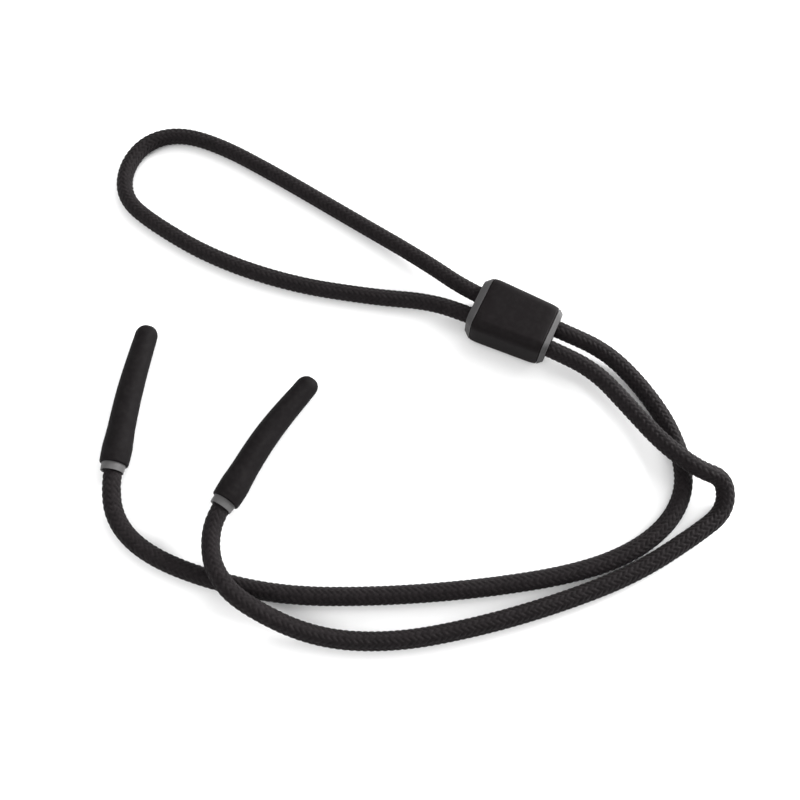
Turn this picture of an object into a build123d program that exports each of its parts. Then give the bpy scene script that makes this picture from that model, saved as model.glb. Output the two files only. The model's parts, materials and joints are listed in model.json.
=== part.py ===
from build123d import *
from math import asin, degrees, pi, radians, tan
import os

# Eyeglass retainer strap, laid out on a table: one braided cord whose two ends carry
# silicone grips for the temples, drawn through a two-bore slider so that its middle makes a loop.
# Millimetres, +Z up, table top at z = 0, origin under the middle of the slider and grips.

# Cord
cord_diameter = 4.0
arc_share = 0.45  # part of the shorter run beside a corner that its arc takes up

# Slider: a rounded block, longest along the cords, between two bevelled end caps
slider_place = (40.4, 17.5)
slider_yaw = -25.5  # degrees, direction from the loop side to the tail side
slider_length = 19.4
slider_corner = 2.35  # rounding along the block's four long edges
shell_wall_loop = 2.0  # beside the liner, at the loop side
shell_wall_tail = 1.05
shell_cover = 1.65  # above and below the liner
shoulder_length = 2.4  # stretch next to each cap where the block narrows
shoulder_drop = 0.23
cap_length_loop = 1.7
cap_length_tail = 1.2
cap_bevel = 0.6  # above and below
cap_side_bevel_loop = 1.3
cap_side_bevel_tail = 0.65
cap_spigot = 0.8  # depth that a cap reaches into the shell
cap_flare = 0.4  # each cord hole widens by this on its way out through the cap
bore_web = 1.0  # between the two bores
bore_clearance = 0.15  # between cord and bore, all round
liner_wall = 0.5  # rubber outside the bores, across the cords
liner_cover = 0.95  # rubber above and below the bores
liner_corner = 1.8
exit_straight = 1.8  # cord that runs straight out of the slider before it turns

# Grips: a silicone sleeve pushed over a barbed ferrule that holds the cord's end
grip_length = 36.0  # ferrule collar and sleeve together
temple_bore_radius = 1.4
temple_bore_floor = 3.3  # solid silicone between the ferrule and the temple bore
sleeve_end_wall = 0.65  # over the stem, at the collar
sleeve_swell_wall = 0.8  # over the stem, where the barbs stretch it
sleeve_swell_at = 3.3  # past the collar
sleeve_neck_wall = 1.55  # round the temple bore
sleeve_neck_at = 1.3  # past the stem's end
sleeve_tip_wall = 1.15  # round the temple bore's mouth
collar_length = 1.7
collar_step = 0.15  # the collar stands this much above the stem
collar_slope = 0.12  # the collar is this much smaller at its cord side
stem_length = 7.0
stem_wall = 0.4  # round the cord's end
barb_height = 0.25
barb_length = 1.6
barb_count = 2
cord_insert = 4.4  # depth of the cord's end inside the ferrule
ferrule_clearance = 0.05
ferrule_mouth = 0.3
clear_of_collar = 1.6  # cord that runs straight out of a grip before it turns

# Where each grip lies: its cord end, its heading in degrees, and how far its swell clears the
# table. The tip rests on the table.
table_gap = 0.01
grip_a_place = (-48.4, -18.2)
grip_a_heading = 83.5
grip_a_lift = 0.12
grip_b_place = (-23.9, -26.6)
grip_b_heading = 59.4
grip_b_lift = 1.8  # its cord comes down from a crossing

cord_radius = cord_diameter / 2
bore_radius = cord_radius + bore_clearance
bore_side = bore_radius + bore_web / 2  # from the slider's axis to a bore's axis
liner_width = 2 * (bore_side + bore_radius + liner_wall)
liner_height = 2 * (bore_radius + liner_cover)
slider_height = liner_height + 2 * shell_cover
core_loop = cap_length_loop - slider_length / 2  # the shell's two ends
core_tail = slider_length / 2 - cap_length_tail
slider_exit = slider_length / 2 + exit_straight
slider_frame = Location((*slider_place, slider_height / 2), (0, 0, slider_yaw))

socket_radius = cord_radius + ferrule_clearance
stem_radius = socket_radius + stem_wall
stem_end = collar_length + stem_length
collar_radius = stem_radius + collar_step
sleeve_swell_radius = stem_radius + sleeve_swell_wall
sleeve_tip_radius = temple_bore_radius + sleeve_tip_wall
dome_centre = grip_length - sleeve_tip_radius


def grip_frame(place, heading, lift):
    # local X runs from the collar's face along the grip, down to where its tip rests
    height = sleeve_swell_radius + lift
    pitch = degrees(asin((height - sleeve_tip_radius - table_gap) / dome_centre))
    return Pos(*place, height) * Rot(0, 0, heading) * Rot(0, pitch, 0)


grip_a_frame = grip_frame(grip_a_place, grip_a_heading, grip_a_lift)
grip_b_frame = grip_frame(grip_b_place, grip_b_heading, grip_b_lift)


def along_x(x):
    # a plane across the local X axis, with local Y to its right and Z up
    return Plane(origin=(x, 0, 0), x_dir=(0, 1, 0), z_dir=(1, 0, 0))


def slider_width(x):
    # the block tapers evenly from its loop side to its tail side
    share = x / slider_length + 0.5
    wall = shell_wall_loop + (shell_wall_tail - shell_wall_loop) * share
    return liner_width + 2 * wall


def slider_section(x, side_inset, top_inset):
    corner = slider_corner - top_inset / 2
    width = slider_width(x) - 2 * side_inset
    return along_x(x) * RectangleRounded(width, slider_height - 2 * top_inset, corner)


def prism(width, height, corner, x_low, x_high):
    return extrude(along_x(x_low) * RectangleRounded(width, height, corner), x_high - x_low)


def cord_holes(radius, x_low, x_high):
    holes = []
    for side in (-1, 1):
        centre = Pos(side * bore_side, 0)
        holes.append(extrude(along_x(x_low) * centre * Circle(radius), x_high - x_low))
    return holes


def slider_shell():
    sections = [
        slider_section(core_loop, shoulder_drop, shoulder_drop),
        slider_section(core_loop + shoulder_length, 0, 0),
        slider_section(core_tail - shoulder_length, 0, 0),
        slider_section(core_tail, shoulder_drop, shoulder_drop),
    ]
    return loft(sections, ruled=True) - prism(
        liner_width, liner_height, liner_corner, core_loop, core_tail
    )


def slider_liner():
    low, high = core_loop + cap_spigot, core_tail - cap_spigot
    block = prism(liner_width, liner_height, liner_corner, low, high)
    return block - cord_holes(bore_radius, low, high)


def slider_cap(side):
    # side is -1 for the loop side and 1 for the tail side
    inner, outer = (core_loop if side < 0 else core_tail), side * slider_length / 2
    side_bevel = cap_side_bevel_loop if side < 0 else cap_side_bevel_tail
    root = inner - side * cap_spigot
    root_section = slider_section(inner, shoulder_drop, shoulder_drop)
    face_section = slider_section(outer, shoulder_drop + side_bevel, shoulder_drop + cap_bevel)
    plate = loft([root_section, face_section], ruled=True)
    spigot = prism(liner_width, liner_height, liner_corner, min(inner, root), max(inner, root))
    cap = plate + spigot - cord_holes(bore_radius, min(root, outer), max(root, outer))
    for cord_side in (-1, 1):
        flare = Cone(bore_radius, bore_radius + cap_flare, abs(outer - inner))
        cap -= Pos((inner + outer) / 2, cord_side * bore_side, 0) * Rot(0, 90 * side, 0) * flare
    return cap


def ferrule_outline():
    # radius against distance from the collar's cord side, along local X
    points = [(0, 0), (0, collar_radius - collar_slope), (collar_length, collar_radius)]
    points.append((collar_length, stem_radius))
    x = collar_length
    gap = (stem_length - barb_count * barb_length) / (barb_count + 1)
    for _ in range(barb_count):
        x += gap
        points.append((x, stem_radius))
        points.append((x, stem_radius + barb_height))
        x += barb_length
        points.append((x, stem_radius))
    return points + [(stem_end, stem_radius), (stem_end, 0)]


def turned(points):
    return revolve(make_face(Polyline(*points, close=True)), Axis.X)


def ferrule():
    body = turned(ferrule_outline())
    body -= extrude(along_x(0) * Circle(socket_radius), cord_insert)
    mouth = Cone(socket_radius + ferrule_mouth, socket_radius, ferrule_mouth)
    return body - Pos(ferrule_mouth / 2, 0, 0) * Rot(0, 90, 0) * mouth


def grip_sleeve():
    side = Polyline(
        (dome_centre, 0),
        (collar_length, 0),
        (collar_length, stem_radius + sleeve_end_wall),
        (collar_length + sleeve_swell_at, sleeve_swell_radius),
        (stem_end + sleeve_neck_at, temple_bore_radius + sleeve_neck_wall),
        (dome_centre, sleeve_tip_radius),
    )
    dome = CenterArc((dome_centre, 0), sleeve_tip_radius, 0, 90)
    axis_line = Line((dome_centre, 0), (grip_length, 0))
    body = revolve(make_face([side, dome, axis_line]), Axis.X)
    body -= turned(ferrule_outline())
    bore_floor = stem_end + temple_bore_floor
    bore = extrude(along_x(bore_floor) * Circle(temple_bore_radius), grip_length - bore_floor)
    return body - bore


def spot(frame, x, y=0):
    # a point given in a piece's own frame, as plain numbers
    point = (frame * Pos(x, y, 0)).position
    return (point.X, point.Y, point.Z)


# Routes of the cord's centre line. The cord lies at its radius above the table, rises to the
# slider's bores, and tail B passes over tail A twice.
loop_route = [
    spot(slider_frame, 0, bore_side),
    spot(slider_frame, -slider_exit, bore_side),
    (19.5, 35.3, 2.7),
    (2.5, 47.1, 2.0),
    (-17.5, 60.6, 2.0),
    (-31.5, 69.2, 2.0),
    (-42.5, 73.0, 2.0),
    (-51.0, 70.2, 2.0),
    (-55.3, 61.8, 2.0),
    (-54.1, 52.8, 2.0),
    (-46.3, 45.9, 2.0),
    (-31.3, 36.3, 2.0),
    (-12.0, 29.0, 2.0),
    (8.0, 25.5, 2.0),
    (20.5, 24.0, 2.7),
    spot(slider_frame, -slider_exit, -bore_side),
    spot(slider_frame, 0, -bore_side),
]
tail_a_route = [
    spot(slider_frame, 0, bore_side),
    spot(slider_frame, slider_exit, bore_side),
    (61.9, 10.8, 2.7),
    (69.5, 2.0, 2.0),
    (74.7, -8.0, 2.0),
    (76.8, -19.0, 2.0),
    (73.1, -28.0, 2.0),
    (64.3, -35.2, 2.0),
    (51.0, -40.1, 2.0),
    (31.0, -43.2, 2.0),
    (10.0, -44.8, 2.0),
    (-10.0, -44.7, 2.0),
    (-27.0, -41.0, 2.0),
    (-39.9, -35.7, 2.0),
    (-47.0, -28.7, 2.3),
    spot(grip_a_frame, -clear_of_collar),
    spot(grip_a_frame, cord_insert),
]
tail_b_route = [
    spot(slider_frame, 0, -bore_side),
    spot(slider_frame, slider_exit, -bore_side),
    (58.6, 5.2, 4.2),
    (65.3, -4.1, 5.0),
    (71.0, -12.6, 6.4),
    (77.9, -18.5, 6.4),
    (84.3, -20.0, 4.3),
    (84.2, -26.6, 2.0),
    (77.1, -31.8, 2.0),
    (64.1, -39.7, 2.0),
    (48.9, -45.6, 2.0),
    (31.0, -50.8, 2.0),
    (12.6, -54.2, 2.0),
    (-3.6, -53.2, 2.2),
    (-18.2, -46.7, 6.4),
    (-23.7, -40.7, 6.5),
    (-25.5, -34.3, 5.6),
    spot(grip_b_frame, -clear_of_collar),
    spot(grip_b_frame, cord_insert),
]


def cord_tube(name, route):
    corners = [Vector(*point) for point in route]
    radii = []
    for before, corner, after in zip(corners, corners[1:], corners[2:]):
        run_in, run_out = corner - before, after - corner
        half_turn = radians(run_in.get_angle(run_out) / 2)
        radii.append(arc_share * min(run_in.length, run_out.length) / tan(half_turn))
    path = FilletPolyline(*corners, radius=radii)
    start = Plane(origin=path @ 0, z_dir=path % 0)
    tube = sweep(start * Circle(cord_radius), path=path)
    print(f"{name}: length {path.length:.1f}, smallest bend radius {min(radii):.1f}")
    print("  radii", " ".join(f"{radius:.1f}" for radius in radii))
    print(f"  volume {tube.volume:.1f}, section x length {pi * cord_radius**2 * path.length:.1f}")
    return tube


nodes = {
    "slider_shell": slider_frame * slider_shell(),
    "slider_liner": slider_frame * slider_liner(),
    "slider_cap_loop_side": slider_frame * slider_cap(-1),
    "slider_cap_tail_side": slider_frame * slider_cap(1),
    "grip_sleeve_a": grip_a_frame * grip_sleeve(),
    "grip_ferrule_a": grip_a_frame * ferrule(),
    "grip_sleeve_b": grip_b_frame * grip_sleeve(),
    "grip_ferrule_b": grip_b_frame * ferrule(),
    "cord_loop": cord_tube("cord_loop", loop_route),
    "cord_tail_a": cord_tube("cord_tail_a", tail_a_route),
    "cord_tail_b": cord_tube("cord_tail_b", tail_b_route),
}

os.makedirs("parts", exist_ok=True)
for name, solid in nodes.items():
    solid.label = name
    export_step(solid, f"parts/{name}.step")
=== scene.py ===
import bpy
import json
from math import cos, pi, radians, sin, sqrt
import numpy as np
from mathutils import Matrix, Vector


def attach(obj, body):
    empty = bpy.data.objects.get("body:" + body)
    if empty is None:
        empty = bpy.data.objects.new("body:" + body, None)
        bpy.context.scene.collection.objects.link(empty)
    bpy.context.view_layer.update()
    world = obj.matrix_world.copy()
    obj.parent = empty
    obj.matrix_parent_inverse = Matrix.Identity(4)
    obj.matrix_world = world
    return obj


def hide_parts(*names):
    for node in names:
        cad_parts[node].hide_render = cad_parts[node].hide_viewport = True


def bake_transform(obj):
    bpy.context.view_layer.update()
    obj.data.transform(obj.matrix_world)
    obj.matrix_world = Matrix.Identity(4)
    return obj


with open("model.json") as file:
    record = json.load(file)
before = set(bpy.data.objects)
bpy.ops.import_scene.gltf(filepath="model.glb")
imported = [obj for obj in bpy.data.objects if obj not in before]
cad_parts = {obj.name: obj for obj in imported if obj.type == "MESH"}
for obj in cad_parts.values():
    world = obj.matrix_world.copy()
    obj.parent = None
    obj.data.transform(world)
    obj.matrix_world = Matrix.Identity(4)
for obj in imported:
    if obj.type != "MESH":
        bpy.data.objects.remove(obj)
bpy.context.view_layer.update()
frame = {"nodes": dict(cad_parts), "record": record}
record = frame["record"]
mm = 0.001
print("frame loaded:", len(frame["nodes"]), "nodes")


cameraView = {
    "target": (0.0142, 0.0, 0.0),
    "elevation": radians(68),
    "distance": 0.203,
    "lens": 40.0,
}


def addCamera():
    v = cameraView
    data = bpy.data.cameras.new("studioCamera")
    data.lens = v["lens"]
    data.clip_start = 0.01
    data.clip_end = 10
    camera = bpy.data.objects.new("studioCamera", data)
    back = Vector((0, -cos(v["elevation"]), sin(v["elevation"])))
    camera.location = Vector(v["target"]) + back * v["distance"]
    camera.rotation_euler = (pi / 2 - v["elevation"], 0, 0)
    bpy.context.scene.collection.objects.link(camera)
    bpy.context.scene.camera = camera


addCamera()
print("camera placed")


# the slider and the grips come first, because the cords run to them
slider = {
    "place": (0.0404, 0.0175, 0.00475),
    "yaw": radians(-25.5),
    "length": 19.4 * mm,
    "widthLoop": 14.6 * mm,
    "widthTail": 12.7 * mm,
    "height": 9.5 * mm,
    "boreSide": 2.65 * mm,  # from the middle to each bore
    "boreRadius": 2.15 * mm,
    "exit": 11.5 * mm,  # where the cord first turns
}

grip = {
    "length": 36.0 * mm,
    "mountFromEnd": 24.0 * mm,  # the record's socket point, from the collar's face
    "cordInsert": 4.4 * mm,
    "clearOfCollar": 1.6 * mm,
}

sliderFrame = Matrix.Translation(slider["place"]) @ Matrix.Rotation(slider["yaw"], 4, "Z")


def gripFrame(socket):
    mount = next(m for m in record["mounts"] if m["name"] == socket)
    along = Vector(mount["axis"]).normalized()
    side = Vector((0, 0, 1)).cross(along).normalized()
    turn = Matrix((along, side, along.cross(side))).transposed().to_4x4()
    start = Vector(mount["pos_m"]) - along * grip["mountFromEnd"]
    return Matrix.Translation(start) @ turn


gripFrames = {"a": gripFrame("temple_socket_a"), "b": gripFrame("temple_socket_b")}


def borePoint(along, side):
    return tuple(sliderFrame @ Vector((along, side * slider["boreSide"], 0)))


def gripPoint(letter, inside):
    return tuple(gripFrames[letter] @ Vector((inside, 0, 0)))


# control points of each stretch of cord, from end to end
cordRoutes = {
    "cordLoop": [
        borePoint(0, 1),
        borePoint(-slider["exit"], 1),
        (0.0195, 0.0353, 0.0027),
        (0.0025, 0.0471, 0.0020),
        (-0.0175, 0.0606, 0.0020),
        (-0.0315, 0.0692, 0.0020),
        (-0.0425, 0.0730, 0.0020),
        (-0.0510, 0.0702, 0.0020),
        (-0.0553, 0.0618, 0.0020),
        (-0.0541, 0.0528, 0.0020),
        (-0.0463, 0.0459, 0.0020),
        (-0.0313, 0.0363, 0.0020),
        (-0.0120, 0.0290, 0.0020),
        (0.0080, 0.0255, 0.0020),
        (0.0205, 0.0240, 0.0027),
        borePoint(-slider["exit"], -1),
        borePoint(0, -1),
    ],
    "cordTailA": [
        borePoint(0, 1),
        borePoint(slider["exit"], 1),
        (0.0619, 0.0108, 0.0027),
        (0.0695, 0.0020, 0.0020),
        (0.0747, -0.0080, 0.0020),
        (0.0768, -0.0190, 0.0020),
        (0.0731, -0.0280, 0.0020),
        (0.0643, -0.0352, 0.0020),
        (0.0510, -0.0401, 0.0020),
        (0.0310, -0.0432, 0.0020),
        (0.0100, -0.0448, 0.0020),
        (-0.0100, -0.0447, 0.0020),
        (-0.0270, -0.0410, 0.0020),
        (-0.0399, -0.0357, 0.0020),
        (-0.0470, -0.0287, 0.0023),
        gripPoint("a", -grip["clearOfCollar"]),
        gripPoint("a", grip["cordInsert"]),
    ],
    "cordTailB": [
        borePoint(0, -1),
        borePoint(slider["exit"], -1),
        (0.0586, 0.0052, 0.0042),
        (0.0653, -0.0041, 0.0050),
        (0.0710, -0.0126, 0.0064),
        (0.0779, -0.0185, 0.0064),
        (0.0843, -0.0200, 0.0043),
        (0.0842, -0.0266, 0.0020),
        (0.0771, -0.0318, 0.0020),
        (0.0641, -0.0397, 0.0020),
        (0.0489, -0.0456, 0.0020),
        (0.0310, -0.0508, 0.0020),
        (0.0126, -0.0542, 0.0020),
        (-0.0036, -0.0532, 0.0022),
        (-0.0182, -0.0467, 0.0064),
        (-0.0237, -0.0407, 0.0065),
        (-0.0255, -0.0343, 0.0056),
        gripPoint("b", -grip["clearOfCollar"]),
        gripPoint("b", grip["cordInsert"]),
    ],
}

cordFacts = {
    "cordLoop": {
        "node": "cord_loop",
        "length": 0.2287,
        "exit": borePoint(-slider["length"] / 2, 1),
        "still": (-0.0310, 0.0534, 0),  # the cord stays where it is from here on
        "carried": borePoint(-slider["length"] / 2, 0),  # and goes with the slider here
    },
    "cordTailA": {
        "node": "cord_tail_a",
        "length": 0.2082,
        "exit": borePoint(slider["length"] / 2, 1),
        "still": (0.0361, -0.0281, 0),
        "carried": borePoint(slider["length"] / 2, 0),
    },
    "cordTailB": {
        "node": "cord_tail_b",
        "length": 0.2017,
        "exit": borePoint(slider["length"] / 2, -1),
        "still": (0.0361, -0.0281, 0),
        "carried": borePoint(slider["length"] / 2, 0),
    },
}

braid = {
    "diameter": 4.0 * mm,
    "carriers": 24,  # half of them wind each way; a multiple of 4 keeps the pattern whole
    "lay": 16.0 * mm,  # length of one whole turn of a yarn
    "steps": 4,  # mesh steps across a yarn
    "yarnCrown": 0.20 * mm,  # how far a yarn's middle stands above its edges
    "weaveRise": 0.10 * mm,  # how far a yarn rises and sinks as it goes over and under
    "crownPower": 2.4,  # higher is flatter on top and steeper at the edges
    "lineSteps": 200,  # how finely the cord's line is read
}


def cordLine(name, route):
    curve = bpy.data.curves.new(name + "Line", "CURVE")
    curve.dimensions = "3D"
    spline = curve.splines.new("NURBS")
    spline.points.add(len(route) - 1)
    for point, place in zip(spline.points, route):
        point.co = (*place, 1)
    spline.order_u = 3
    spline.use_endpoint_u = True
    spline.resolution_u = braid["lineSteps"]
    holder = bpy.data.objects.new(name + "Line", curve)
    bpy.context.scene.collection.objects.link(holder)
    bpy.context.view_layer.update()
    mesh = bpy.data.meshes.new_from_object(holder)
    line = np.array([v.co for v in mesh.vertices], float)
    bpy.data.meshes.remove(mesh)
    bpy.data.objects.remove(holder)
    bpy.data.curves.remove(curve)
    return line


def spaced(line, step):
    # the same line read at even steps along its length
    runs = np.linalg.norm(np.diff(line, axis=0), axis=1)
    reach = np.concatenate([[0], np.cumsum(runs)])
    count = int(round(reach[-1] / step))
    places = np.linspace(0, reach[-1], count + 1)
    return np.column_stack([np.interp(places, reach, line[:, k]) for k in range(3)])


def lineFrames(points):
    # tangents, and side directions that never twist about the line
    tangents = np.gradient(points, axis=0)
    tangents /= np.linalg.norm(tangents, axis=1)[:, None]
    side = np.cross(tangents[0], (0, 0, 1.0))
    sides = []
    for tangent in tangents:
        side = side - tangent * (side @ tangent)
        side /= np.linalg.norm(side)
        sides.append(side)
    sides = np.array(sides)
    return tangents, sides, np.cross(tangents, sides)


def braidRise(u, v):
    # height of a two-over, two-under braid above its deepest gaps; yarns lie between whole numbers
    def crown(x):
        across = np.abs(2 * (x - np.floor(x)) - 1)
        return braid["yarnCrown"] * np.sqrt(1 - across ** braid["crownPower"])

    def weave(x, y):
        return sqrt(2) * braid["weaveRise"] * np.cos(pi / 2 * (x - 0.5 + np.floor(y)) - pi / 4)

    return np.maximum(crown(u) + weave(v, u), crown(v) - weave(u, v))


def braidedTube(name, line):
    n, m = braid["carriers"], braid["steps"]
    points = spaced(line, braid["lay"] / (n * m))
    tangents, sides, ups = lineFrames(points)
    rows, perRow = len(points), n * m // 2
    row = np.repeat(np.arange(rows), perRow)
    slot = np.tile(np.arange(perRow), rows)
    turn = 2 * slot + row % 2  # every second row starts half a step round
    u, v = (turn + row) / 2 / m, (turn - row) / 2 / m
    # rounding keeps the yarns' edges exactly on whole numbers
    rise = braidRise(np.round(u * m) / m, np.round(v * m) / m)
    top = braid["yarnCrown"] + sqrt(2) * braid["weaveRise"]
    radius = braid["diameter"] / 2 - top + rise
    angle = 2 * pi * turn / (n * m)
    places = (
        points[row]
        + sides[row] * (radius * np.cos(angle))[:, None]
        + ups[row] * (radius * np.sin(angle))[:, None]
    )
    faces, yarns = [], []
    # each face is one step of one yarn, which goes over two yarns and under two
    offsets = ((-0.5, 0.5), (0.5, 0.5), (0.5, -0.5), (-0.5, -0.5))
    for r in range(rows - 2):
        shift = r % 2
        for s in range(perRow):
            right = (s + shift) % perRow
            left = (s + shift - 1) % perRow
            base = r * perRow
            corners = (
                base + s,
                base + perRow + right,
                base + 2 * perRow + s,
                base + perRow + left,
            )
            faces.append(corners)
            a = (2 * s + shift + r) / 2 + 0.5
            b = (2 * s + shift - r) / 2 - 0.5
            i, j = int(a // m), int(b // m)
            over = (i + j) % 4 < 2
            for da, db in offsets:
                across, along = (a + da) / m, (b + db) / m
                if over:
                    yarns.append((across - i, along, i % (n // 2)))
                else:
                    yarns.append((along - j, across, j % (n // 2) + n // 2))
    # flat ends, which sit out of sight in the slider and the ferrules
    for r, flip in ((0, False), (rows - 1, True)):
        inner = r + (1 if r == 0 else -1)
        shift = r % 2
        for s in range(perRow):
            near = r * perRow + s, r * perRow + (s + 1) % perRow
            tip = inner * perRow + (s + shift) % perRow
            faces.append((near[0], near[1], tip) if not flip else (near[1], near[0], tip))
            yarns.extend([(0, 0, 0)] * 3)
        ring = [r * perRow + s for s in range(perRow)]
        faces.append(tuple(ring if flip else reversed(ring)))
        yarns.extend([(0, 0, 0)] * perRow)
    mesh = bpy.data.meshes.new(name)
    mesh.from_pydata(places.tolist(), [], faces)
    marks = mesh.attributes.new("yarn", "FLOAT_VECTOR", "CORNER")
    marks.data.foreach_set("vector", np.array(yarns, np.float32).ravel())
    mesh.polygons.foreach_set("use_smooth", np.ones(len(mesh.polygons), bool))
    mesh.update()
    tube = bpy.data.objects.new(name, mesh)
    bpy.context.scene.collection.objects.link(tube)
    return tube, points


cords = {}
for name, route in cordRoutes.items():
    facts = cordFacts[name]
    tube, points = braidedTube(name, cordLine(name, route))
    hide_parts(facts["node"])
    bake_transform(tube)
    cords[name] = tube
    print("braided", name, len(tube.data.polygons), "faces")


def newPiece(name, places, faces, smooth=True):
    mesh = bpy.data.meshes.new(name)
    mesh.from_pydata([tuple(p) for p in places], [], faces)
    mesh.polygons.foreach_set("use_smooth", np.full(len(mesh.polygons), smooth))
    mesh.update()
    piece = bpy.data.objects.new(name, mesh)
    bpy.context.scene.collection.objects.link(piece)
    return piece


def skin(rings, closedEnds=True):
    # quads between rings of equal count, with a flat face over each end
    count = len(rings[0])
    places = [p for ring in rings for p in ring]
    faces = []
    for r in range(len(rings) - 1):
        for s in range(count):
            e = (s + 1) % count
            faces.append((r * count + s, r * count + e, (r + 1) * count + e, (r + 1) * count + s))
    if closedEnds:
        faces.append(tuple(reversed(range(count))))
        last = (len(rings) - 1) * count
        faces.append(tuple(last + s for s in range(count)))
    return places, faces


sleeve = {
    "sides": 96,
    "start": 1.7 * mm,  # the collar's length
    "stemRadius": 2.45 * mm,
    "stemEnd": 8.7 * mm,
    "boreRadius": 1.4 * mm,
    "boreFloor": 12.0 * mm,
    "tipRadius": 2.55 * mm,
    "lip": 0.28 * mm,  # rounding of the end against the collar
    "lipSteps": 6,
    "bodyRings": 64,
    "tipRings": 12,
    "mouthLip": 0.15 * mm,
    # how far along and radius, in mm, as barbRings and barbSpread are
    "outline": [(1.7, 3.10), (5.0, 3.25), (10.0, 2.98), (20.0, 2.84), (33.45, 2.55)],
    "barbRings": (3.3, 6.2),  # where the barbs show through the silicone
    "barbRise": 0.035 * mm,
    "barbSpread": 0.7,  # how far each ring spreads along
    "seamRise": 0.025 * mm,  # moulding line along both sides
    "bow": {"a": 0.55 * mm, "b": 1.0 * mm},  # sideways, half way along
    "bowPower": 1.5,
}


def sleeveRadius(x):
    keys = [(a * mm, b * mm) for a, b in sleeve["outline"]]
    radius = np.interp(x, [k[0] for k in keys], [k[1] for k in keys])
    for ring in sleeve["barbRings"]:
        radius += sleeve["barbRise"] * np.exp(-(((x / mm - ring) / sleeve["barbSpread"]) ** 2))
    return radius


def sleeveProfile():
    s = sleeve
    profile = [(s["stemEnd"], 0), (s["stemEnd"], s["stemRadius"]), (s["start"], s["stemRadius"])]
    outer = sleeveRadius(s["start"])
    for step in reversed(range(s["lipSteps"] + 1)):
        turn = pi / 2 * step / s["lipSteps"]
        x = s["start"] + s["lip"] * (1 - sin(turn))
        profile.append((x, outer - s["lip"] * (1 - cos(turn))))
    domeAt = grip["length"] - s["tipRadius"]
    for x in np.linspace(s["start"] + s["lip"], domeAt, s["bodyRings"])[1:]:
        profile.append((x, sleeveRadius(x)))
    mouthLip = s["mouthLip"]
    reach = np.arccos((s["boreRadius"] + mouthLip) / s["tipRadius"])
    for turn in np.linspace(0, reach, s["tipRings"])[1:]:
        profile.append((domeAt + s["tipRadius"] * sin(turn), s["tipRadius"] * cos(turn)))
    mouth = domeAt + s["tipRadius"] * sin(reach)
    profile.append((mouth - mouthLip / 2, s["boreRadius"] + mouthLip / 3))
    profile.append((mouth - 2 * mouthLip, s["boreRadius"]))
    profile.append((s["boreFloor"], s["boreRadius"]))
    profile.append((s["boreFloor"], 0))
    return profile


def turnedPiece(name, profile, sides, place, seam=0.0, seamAbove=0.0, bow=0.0):
    # turns a profile about local X; both its ends are on the axis
    places = [place @ Vector((profile[0][0], 0, 0))]
    for x, radius in profile[1:-1]:
        share = min(1.0, max(0.0, (x - sleeve["start"]) / (grip["length"] - sleeve["start"])))
        drift = bow * sin(pi * share) ** sleeve["bowPower"]
        for k in range(sides):
            angle = 2 * pi * k / sides
            onSeam = k % (sides // 2) == 0 and radius > seamAbove
            r = radius + (seam if onSeam else 0)
            places.append(place @ Vector((x, r * cos(angle) + drift, r * sin(angle))))
    places.append(place @ Vector((profile[-1][0], 0, 0)))
    rings = len(profile) - 2
    faces = []
    for k in range(sides):
        e = (k + 1) % sides
        faces.append((0, 1 + e, 1 + k))
        last = 1 + (rings - 1) * sides
        faces.append((last + e, len(places) - 1, last + k))
        for r in range(rings - 1):
            low = 1 + r * sides
            faces.append((low + k, low + e, low + sides + e, low + sides + k))
    return newPiece(name, places, faces)


sleeves = {}
for letter in "ab":
    piece = turnedPiece(
        f"gripSleeve{letter.upper()}",
        sleeveProfile(),
        sleeve["sides"],
        gripFrames[letter],
        seam=sleeve["seamRise"],
        seamAbove=sleeve["stemRadius"] + 0.01 * mm,
        bow=sleeve["bow"][letter],
    )
    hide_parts(f"grip_sleeve_{letter}")
    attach(piece, "strap")
    sleeves[letter] = piece
print("sleeves turned")


# the slider's mouldings
block = {
    "loopEnd": -8.0 * mm,  # the shell's two ends
    "tailEnd": 8.5 * mm,
    "shoulder": 2.4 * mm,  # stretch over which it narrows towards a cap
    "drop": 0.23 * mm,
    "corner": 2.35 * mm,
    "cavity": (10.6 * mm, 6.2 * mm, 1.8 * mm),  # width, height and corner of the liner's place
    "seam": 0.10 * mm,  # groove between shell and cap
    "capSide": {-1: 1.30 * mm, 1: 0.65 * mm},  # how much narrower each cap ends than it starts
    "capTop": 0.60 * mm,
    "capFlare": 0.40 * mm,
    "capStep": 0.06 * mm,  # how soon a cap reaches its full width
    "capSink": 0.07 * mm,  # how far it is drawn in at the groove
    "capBevel": (0.82, 0.08),  # straight and curved shares of the bevel
    "capFaceBevel": (0.90, 0.10),  # where the bevel stands as it turns into the face
    "capFace": 0.28 * mm,  # rounding between bevel and face
    "capFaceDraw": 0.6,
    "capSharp": radians(32),  # edges steeper than this stay sharp
    "holeLip": 0.35 * mm,  # depth over which a cord hole flares
    "holeFlare": ((1.0, 0.6), (0.3, 0.85), (-1.0, 1.8)),  # lips inside the face, share of the flare
    "holeStart": 0.5 * mm,  # how far behind the cap its hole cutter starts
    "holeSides": 64,
    "edge": 0.22 * mm,  # rounding of moulded edges
    "edgeRings": 5,
    "settle": 1.6,  # edges between the rounding and the first plain ring
    "shellRings": 41,
    "shoulderBow": 0.8,  # how much of a quarter round the shoulder follows
    "cornerSteps": 10,
    "sideSteps": 6,
    "bevelRings": 9,
    "faceRings": 6,
}


def halfWidth(x):
    share = x / slider["length"] + 0.5
    return (slider["widthLoop"] + (slider["widthTail"] - slider["widthLoop"]) * share) / 2


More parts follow.
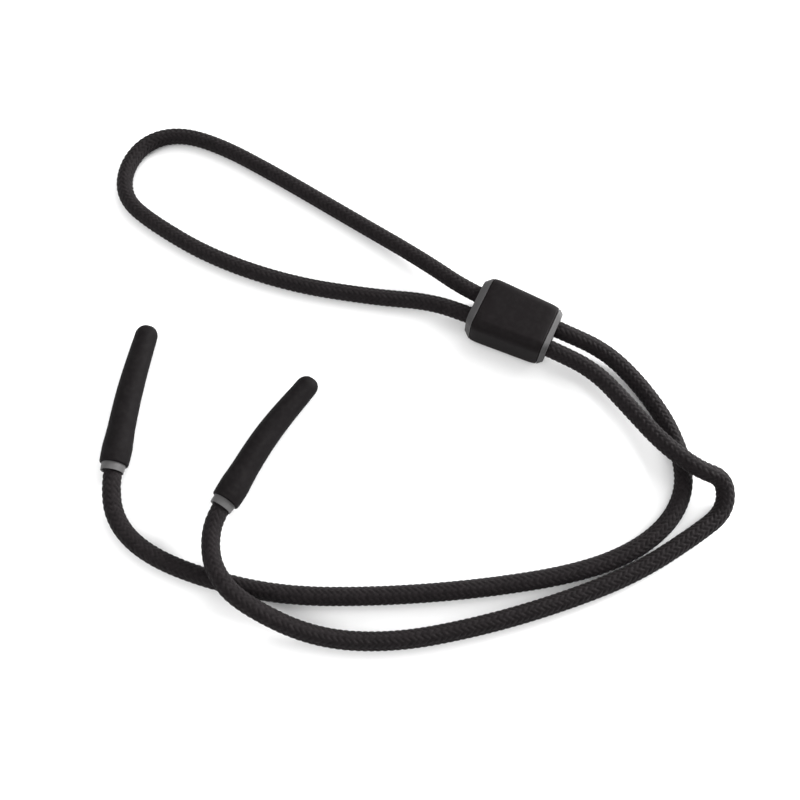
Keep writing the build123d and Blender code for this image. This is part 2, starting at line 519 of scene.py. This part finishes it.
def roundedRing(x, width, height, corner):
    # a rounded rectangle across local X, from half sizes, counted the same way round each time
    spots = []
    steps, sides = block["cornerSteps"], block["sideSteps"]
    middles = (
        (width - corner, height - corner),
        (-width + corner, height - corner),
        (-width + corner, -height + corner),
        (width - corner, -height + corner),
    )
    for k, (y, z) in enumerate(middles):
        for step in range(steps + 1):
            angle = pi / 2 * (k + step / steps)
            spots.append((y + corner * cos(angle), z + corner * sin(angle)))
        last, following = spots[-1], middles[(k + 1) % 4]
        angle = pi / 2 * (k + 1)
        goal = (following[0] + corner * cos(angle), following[1] + corner * sin(angle))
        for step in range(1, sides):
            t = step / sides
            spots.append((last[0] + (goal[0] - last[0]) * t, last[1] + (goal[1] - last[1]) * t))
    return [sliderFrame @ Vector((x, y, z)) for y, z in spots]


def shellInset(x):
    beyond = max(x - block["tailEnd"], block["loopEnd"] - x) + block["shoulder"]
    t = max(0.0, beyond / block["shoulder"])
    bow = block["shoulderBow"]
    return block["drop"] * (1 - sqrt(1 - (bow * t) ** 2)) / (1 - sqrt(1 - bow**2))


def shellRing(x, extra=0.0):
    inset = shellInset(x) + extra
    corner = block["corner"] - inset / 2
    return roundedRing(x, halfWidth(x) - inset, slider["height"] / 2 - inset, corner)


def makeShell():
    b = block
    low, high = b["loopEnd"] + b["seam"] / 2, b["tailEnd"] - b["seam"] / 2
    edge = b["edge"]
    settle = b["settle"] * edge
    width, height, corner = (v / k for v, k in zip(b["cavity"], (2, 2, 1)))
    rings = [roundedRing(low, width, height, corner)]
    for t in np.linspace(0, pi / 2, b["edgeRings"]):
        rings.append(shellRing(low + edge * (1 - cos(t)), edge * (1 - sin(t))))
    for x in np.linspace(low + settle, high - settle, b["shellRings"]):
        rings.append(shellRing(x))
    for t in np.linspace(pi / 2, 0, b["edgeRings"]):
        rings.append(shellRing(high - edge * (1 - cos(t)), edge * (1 - sin(t))))
    rings.append(roundedRing(high, width, height, corner))
    places, faces = skin(rings, closedEnds=False)
    # the cavity wall closes the skin from one end to the other
    count, last = len(rings[0]), (len(rings) - 1) * len(rings[0])
    for s in range(count):
        e = (s + 1) % count
        faces.append((last + s, last + e, e, s))
    shell = newPiece("sliderShell", places, faces)
    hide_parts("slider_shell")
    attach(shell, "slider")
    return shell


def boreCutter(side, bore):
    # a trumpet-shaped solid as wide as a cap's cord hole
    b = block
    root, face = (b["loopEnd"] if side < 0 else b["tailEnd"]), side * slider["length"] / 2
    stations = [(root - side * b["holeStart"], slider["boreRadius"]), (root, slider["boreRadius"])]
    for lips, share in b["holeFlare"]:
        x = face - side * b["holeLip"] * lips
        stations.append((x, slider["boreRadius"] + b["capFlare"] * share))
    rings = []
    for x, r in stations:
        ring = []
        for k in range(b["holeSides"]):
            angle = side * 2 * pi * k / b["holeSides"]
            y = bore * slider["boreSide"] + r * cos(angle)
            ring.append(sliderFrame @ Vector((x, y, r * sin(angle))))
        rings.append(ring)
    places, faces = skin(rings)
    return newPiece(f"boreCutter{side}{bore}", places, faces)


def makeCap(side):
    b = block
    root, face = (b["loopEnd"] if side < 0 else b["tailEnd"]), side * slider["length"] / 2
    land = root + side * (b["seam"] / 2 + b["capStep"])
    sideBevel, topBevel, faceRound = b["capSide"][side], b["capTop"], b["capFace"]

    def capRing(x, share, extra=0.0):
        # share is how much of the bevel is done
        topInset = b["drop"] + topBevel * share + extra
        width = halfWidth(x) - (b["drop"] + sideBevel * share + extra)
        return roundedRing(x, width, slider["height"] / 2 - topInset, b["corner"] - topInset / 2)

    rings = [capRing(root + side * b["seam"] / 2, 0, b["capSink"])]
    last = face - side * faceRound
    straight, curved = b["capBevel"]
    for t in np.linspace(0, 1, b["bevelRings"]):
        rings.append(capRing(land + (last - land) * t, straight * t + curved * t * t))
    begun, rest = b["capFaceBevel"]
    for t in np.linspace(0, pi / 2, b["faceRings"])[1:]:
        draw = b["capFaceDraw"] * faceRound * (1 - cos(t))
        rings.append(capRing(last + side * faceRound * sin(t), begun + rest * sin(t), draw))
    if side < 0:
        rings = [list(reversed(ring)) for ring in rings]
    places, faces = skin(rings)
    name = "sliderCapLoopSide" if side < 0 else "sliderCapTailSide"
    cap = newPiece(name, places, faces)
    for bore in (-1, 1):
        cutter = boreCutter(side, bore)
        cut = cap.modifiers.new("cordHole", "BOOLEAN")
        cut.operation = "DIFFERENCE"
        cut.solver = "EXACT"
        cut.object = cutter
        bpy.context.view_layer.update()
        cutCap = cap.evaluated_get(bpy.context.evaluated_depsgraph_get())
        mesh = bpy.data.meshes.new_from_object(cutCap)
        cap.modifiers.clear()
        cap.data = mesh
        bpy.data.objects.remove(cutter)
    cap.data.name = name
    cap.data.set_sharp_from_angle(angle=block["capSharp"])
    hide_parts("slider_cap_loop_side" if side < 0 else "slider_cap_tail_side")
    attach(cap, "slider")
    return cap


shell = makeShell()
caps = {side: makeCap(side) for side in (-1, 1)}
print("slider moulded")


def newGroup(name, inputs, outputs):
    group = bpy.data.node_groups.new(name, "ShaderNodeTree")
    for label, kind, value in inputs:
        socket = group.interface.new_socket(name=label, in_out="INPUT", socket_type=kind)
        socket.default_value = value
    for label, kind in outputs:
        group.interface.new_socket(name=label, in_out="OUTPUT", socket_type=kind)
    return group, group.nodes.new("NodeGroupInput"), group.nodes.new("NodeGroupOutput")


def link(tree, source, target):
    tree.links.new(source, target)


def mathNode(tree, operation, first, second=None, third=None, clamp=False):
    node = tree.nodes.new("ShaderNodeMath")
    node.operation = operation
    node.use_clamp = clamp
    for socket, value in zip(node.inputs, (first, second, third)):
        if value is None:
            continue
        if isinstance(value, (int, float)):
            socket.default_value = value
        else:
            link(tree, value, socket)
    return node.outputs[0]


def makeGrainGroup():
    # fine moulded or matted grain: a shade from 0 to 1, and a height
    group, given, made = newGroup(
        "fineGrain",
        [("Scale", "NodeSocketFloat", 2000.0), ("Mottle", "NodeSocketFloat", 200.0)],
        [("Shade", "NodeSocketFloat"), ("Height", "NodeSocketFloat")],
    )
    place = group.nodes.new("ShaderNodeTexCoord")
    fine = group.nodes.new("ShaderNodeTexNoise")
    fine.inputs["Detail"].default_value = 3.0
    fine.inputs["Roughness"].default_value = 0.6
    broad = group.nodes.new("ShaderNodeTexNoise")
    broad.inputs["Detail"].default_value = 2.0
    link(group, place.outputs["Object"], fine.inputs["Vector"])
    link(group, place.outputs["Object"], broad.inputs["Vector"])
    link(group, given.outputs["Scale"], fine.inputs["Scale"])
    link(group, given.outputs["Mottle"], broad.inputs["Scale"])
    half = mathNode(group, "MULTIPLY", fine.outputs["Fac"], 0.5)
    shade = mathNode(group, "MULTIPLY_ADD", broad.outputs["Fac"], 0.5, half)
    link(group, shade, made.inputs["Shade"])
    link(group, fine.outputs["Fac"], made.inputs["Height"])
    return group


def makeWearGroup():
    # rubbed edges: 1 where the surface turns sharply outward and a patchy noise allows it
    group, given, made = newGroup(
        "edgeWear",
        [("Amount", "NodeSocketFloat", 1.0), ("Patches", "NodeSocketFloat", 600.0)],
        [("Mask", "NodeSocketFloat")],
    )
    form = group.nodes.new("ShaderNodeNewGeometry")
    place = group.nodes.new("ShaderNodeTexCoord")
    patch = group.nodes.new("ShaderNodeTexNoise")
    link(group, place.outputs["Object"], patch.inputs["Vector"])
    link(group, given.outputs["Patches"], patch.inputs["Scale"])
    flat, edgeGain = 0.5, 9.0  # pointiness of a flat surface, and how fast wear comes on
    rise = mathNode(group, "SUBTRACT", form.outputs["Pointiness"], flat)
    rise = mathNode(group, "MULTIPLY", rise, edgeGain, clamp=True)
    ragged = mathNode(group, "MULTIPLY", rise, patch.outputs["Fac"])
    mask = mathNode(group, "MULTIPLY", ragged, given.outputs["Amount"], clamp=True)
    link(group, mask, made.inputs["Mask"])
    return group


def makeDustGroup():
    # light dust on what faces up
    group, given, made = newGroup(
        "topDust",
        [("Amount", "NodeSocketFloat", 0.1), ("Scale", "NodeSocketFloat", 900.0)],
        [("Mask", "NodeSocketFloat")],
    )
    form = group.nodes.new("ShaderNodeNewGeometry")
    apart = group.nodes.new("ShaderNodeSeparateXYZ")
    place = group.nodes.new("ShaderNodeTexCoord")
    speck = group.nodes.new("ShaderNodeTexNoise")
    speck.inputs["Detail"].default_value = 4.0
    link(group, place.outputs["Object"], speck.inputs["Vector"])
    link(group, given.outputs["Scale"], speck.inputs["Scale"])
    link(group, form.outputs["Normal"], apart.inputs["Vector"])
    up = mathNode(group, "MULTIPLY", apart.outputs["Z"], 1.0, clamp=True)
    bare, contrast = 0.42, 4.0  # noise below the first is clean
    bits = mathNode(group, "SUBTRACT", speck.outputs["Fac"], bare)
    bits = mathNode(group, "MULTIPLY", bits, contrast, clamp=True)
    mask = mathNode(group, "MULTIPLY", up, bits)
    mask = mathNode(group, "MULTIPLY", mask, given.outputs["Amount"])
    link(group, mask, made.inputs["Mask"])
    return group


grainGroup, wearGroup, dustGroup = makeGrainGroup(), makeWearGroup(), makeDustGroup()


def useGroup(tree, group, **values):
    node = tree.nodes.new("ShaderNodeGroup")
    node.node_tree = group
    for label, value in values.items():
        node.inputs[label].default_value = value
    return node


def mixColour(tree, factor, first, second):
    node = tree.nodes.new("ShaderNodeMix")
    node.data_type = "RGBA"
    link(tree, factor, node.inputs["Factor"])
    for socket, value in ((node.inputs["A"], first), (node.inputs["B"], second)):
        if isinstance(value, tuple):
            socket.default_value = (*value, 1)
        else:
            link(tree, value, socket)
    return node.outputs["Result"]


def newMaterial(name):
    material = bpy.data.materials.new(name)
    material.use_nodes = True
    tree = material.node_tree
    return material, tree, tree.nodes["Principled BSDF"]


def ranged(tree, value, low, high):
    node = tree.nodes.new("ShaderNodeMapRange")
    node.inputs["To Min"].default_value = low
    node.inputs["To Max"].default_value = high
    link(tree, value, node.inputs["Value"])
    return node.outputs["Result"]


def bumpNode(tree, height, strength, distance):
    node = tree.nodes.new("ShaderNodeBump")
    node.inputs["Strength"].default_value = strength
    node.inputs["Distance"].default_value = distance
    link(tree, height, node.inputs["Height"])
    return node.outputs["Normal"]


# colours run from dark to light with the grain, and to worn at rubbed edges
mouldings = {
    "sliderPlastic": {
        "dark": (0.0032, 0.0023, 0.0026),
        "light": (0.0050, 0.0037, 0.0041),
        "worn": (0.026, 0.024, 0.024),
        "rough": (0.46, 0.62), "specular": 0.06, "scale": 4200.0, "mottle": 160.0,
        "grain": 0.60, "depth": 0.05 * mm, "wear": 0.55, "dust": 0.03,
    },
    # the caps' grey is a painted highlight: it stands in for light caught on the slider's black
    # bevelled ends
    "capPaintedHighlight": {
        "dark": (0.031, 0.0300, 0.0306),
        "light": (0.041, 0.0397, 0.0404),
        "worn": (0.15, 0.146, 0.147),
        "rough": (0.50, 0.64), "specular": 0.25, "scale": 2600.0, "mottle": 220.0,
        "grain": 0.50, "depth": 0.04 * mm, "wear": 0.5, "dust": 0.03,
    },
    # the collars' grey is partly the collar's own grey and partly a painted highlight on its step
    "ferruleGreyAndPaintedHighlight": {
        "dark": (0.050, 0.0485, 0.049),
        "light": (0.064, 0.0625, 0.063),
        "worn": (0.13, 0.127, 0.128),
        "rough": (0.48, 0.62), "specular": 0.25, "scale": 2600.0, "mottle": 260.0,
        "grain": 0.45, "depth": 0.04 * mm, "wear": 0.5, "dust": 0.03,
    },
    "gripSilicone": {
        "dark": (0.0034, 0.0027, 0.0030),
        "light": (0.0054, 0.0044, 0.0048),
        "worn": (0.016, 0.015, 0.015),
        "rough": (0.60, 0.78), "specular": 0.06, "scale": 3600.0, "mottle": 120.0,
        "grain": 0.70, "depth": 0.06 * mm, "wear": 0.2, "dust": 0.04,
    },
    "linerRubber": {
        "dark": (0.012, 0.012, 0.012),
        "light": (0.02, 0.02, 0.02),
        "worn": (0.03, 0.03, 0.03),
        "rough": (0.6, 0.75), "specular": 0.2, "scale": 1200.0, "mottle": 120.0,
        "grain": 0.3, "depth": 0.05 * mm, "wear": 0.1, "dust": 0.02,
    },
}
dustColour = (0.07, 0.068, 0.066)


def makeMoulding(name):
    m = mouldings[name]
    material, tree, surface = newMaterial(name)
    grain = useGroup(tree, grainGroup, Scale=m["scale"], Mottle=m["mottle"])
    wear = useGroup(tree, wearGroup, Amount=m["wear"])
    dust = useGroup(tree, dustGroup, Amount=m["dust"])
    colour = mixColour(tree, grain.outputs["Shade"], m["dark"], m["light"])
    colour = mixColour(tree, wear.outputs["Mask"], colour, m["worn"])
    colour = mixColour(tree, dust.outputs["Mask"], colour, dustColour)
    link(tree, colour, surface.inputs["Base Color"])
    rough = ranged(tree, grain.outputs["Shade"], *m["rough"])
    link(tree, rough, surface.inputs["Roughness"])
    surface.inputs["Specular IOR Level"].default_value = m["specular"]
    normal = bumpNode(tree, grain.outputs["Height"], m["grain"], m["depth"])
    link(tree, normal, surface.inputs["Normal"])
    return material


yarnFinish = {
    "dark": (0.0020, 0.0015, 0.0017),
    "light": (0.0125, 0.0098, 0.0107),
    "filaments": 6,  # fine threads seen across one yarn
    "rough": (0.58, 0.78),
    "specular": 0.08,
    "sheen": 0.03,
    "sheenRough": 0.45,
    "bump": 0.5,
    "depth": 0.05 * mm,
    "sway": 0.35,  # how far filaments drift across a yarn
    "swayScale": 1.3,
    "grainScale": 5200.0,
    "mottle": 260.0,
    # how much of the tone each of these sets
    "filamentShare": 0.35,
    "yarnShare": 0.25,
    "grainShare": 0.4,
    "dust": 0.05,
    "dustScale": 1500.0,
}


def makeCordMaterial():
    y = yarnFinish
    material, tree, surface = newMaterial("cordBraid")
    yarn = tree.nodes.new("ShaderNodeAttribute")
    yarn.attribute_name = "yarn"
    apart = tree.nodes.new("ShaderNodeSeparateXYZ")
    link(tree, yarn.outputs["Vector"], apart.inputs["Vector"])
    across, along, number = (apart.outputs[k] for k in "XYZ")
    # filaments run along a yarn and drift a little sideways
    sway = tree.nodes.new("ShaderNodeTexNoise")
    sway.noise_dimensions = "2D"
    sway.inputs["Scale"].default_value = y["swayScale"]
    pair = tree.nodes.new("ShaderNodeCombineXYZ")
    link(tree, along, pair.inputs["X"])
    link(tree, number, pair.inputs["Y"])
    link(tree, pair.outputs["Vector"], sway.inputs["Vector"])
    moved = mathNode(tree, "MULTIPLY_ADD", sway.outputs["Fac"], y["sway"], across)
    wave = mathNode(tree, "MULTIPLY", moved, 2 * pi * y["filaments"])
    wave = mathNode(tree, "SINE", wave)
    wave = mathNode(tree, "MULTIPLY_ADD", wave, 0.5, 0.5)  # from 0 to 1
    shadeOf = tree.nodes.new("ShaderNodeTexWhiteNoise")
    shadeOf.noise_dimensions = "1D"
    link(tree, number, shadeOf.inputs["W"])
    grain = useGroup(tree, grainGroup, Scale=y["grainScale"], Mottle=y["mottle"])
    tone = mathNode(tree, "MULTIPLY", wave, y["filamentShare"])
    tone = mathNode(tree, "MULTIPLY_ADD", shadeOf.outputs["Value"], y["yarnShare"], tone)
    tone = mathNode(tree, "MULTIPLY_ADD", grain.outputs["Shade"], y["grainShare"], tone)
    dust = useGroup(tree, dustGroup, Amount=y["dust"], Scale=y["dustScale"])
    colour = mixColour(tree, tone, y["dark"], y["light"])
    colour = mixColour(tree, dust.outputs["Mask"], colour, dustColour)
    link(tree, colour, surface.inputs["Base Color"])
    link(tree, ranged(tree, tone, y["rough"][1], y["rough"][0]), surface.inputs["Roughness"])
    surface.inputs["Specular IOR Level"].default_value = y["specular"]
    surface.inputs["Sheen Weight"].default_value = y["sheen"]
    surface.inputs["Sheen Roughness"].default_value = y["sheenRough"]
    link(tree, bumpNode(tree, wave, y["bump"], y["depth"]), surface.inputs["Normal"])
    return material


def wearMaterial(piece, material):
    piece.data.materials.clear()
    piece.data.materials.append(material)


finishes = {name: makeMoulding(name) for name in mouldings}
cordMaterial = makeCordMaterial()
for tube in cords.values():
    wearMaterial(tube, cordMaterial)
for piece in sleeves.values():
    wearMaterial(piece, finishes["gripSilicone"])
wearMaterial(shell, finishes["sliderPlastic"])
for cap in caps.values():
    wearMaterial(cap, finishes["capPaintedHighlight"])
for node, name in (
    ("slider_liner", "linerRubber"),
    ("grip_ferrule_a", "ferruleGreyAndPaintedHighlight"),
    ("grip_ferrule_b", "ferruleGreyAndPaintedHighlight"),
):
    frame["nodes"][node].material_slots[0].material = finishes[name]
print("finishes applied")


stage = {
    "half": 20.0,  # half the table's width, far enough to meet the horizon
    "dark": (0.86, 0.86, 0.86),
    "light": (0.90, 0.90, 0.90),
    "grainScale": 900.0,
    "mottle": 12.0,
    "rough": 0.9,
    "specular": 0.1,
    "world": 1.0,
    # place, size across and power of each lamp
    "keyLamp": ((0.40, 0.45, 0.80), 0.8, 3.5),
    "rimLamp": ((0.62, 0.36, 0.20), 0.30, 13.0),
    "fillLamp": ((-0.45, -0.50, 0.80), 0.8, 4.0),
}


def addFloor():
    half = stage["half"]
    corners = [(-half, -half, 0), (half, -half, 0), (half, half, 0), (-half, half, 0)]
    floor = newPiece("tableTop", corners, [(0, 1, 2, 3)])
    material, tree, surface = newMaterial("paleTable")
    grain = useGroup(tree, grainGroup, Scale=stage["grainScale"], Mottle=stage["mottle"])
    colour = mixColour(tree, grain.outputs["Shade"], stage["dark"], stage["light"])
    link(tree, colour, surface.inputs["Base Color"])
    surface.inputs["Roughness"].default_value = stage["rough"]
    surface.inputs["Specular IOR Level"].default_value = stage["specular"]
    wearMaterial(floor, material)


def addLamp(name):
    place, size, power = stage[name]
    data = bpy.data.lights.new(name, "AREA")
    data.shape = "DISK"
    data.size = size
    data.energy = power
    lamp = bpy.data.objects.new(name, data)
    lamp.location = place
    lamp.rotation_mode = "QUATERNION"
    lamp.rotation_quaternion = Vector(place).to_track_quat("Z", "Y")
    bpy.context.scene.collection.objects.link(lamp)


addFloor()
for name in ("keyLamp", "rimLamp", "fillLamp"):
    addLamp(name)
world = bpy.data.worlds.new("studioRoom")
world.use_nodes = True
sky = world.node_tree.nodes["Background"]
sky.inputs["Color"].default_value = (1, 1, 1, 1)
sky.inputs["Strength"].default_value = stage["world"]
bpy.context.scene.world = world
bpy.context.scene.view_settings.view_transform = "Standard"
print("stage lit")
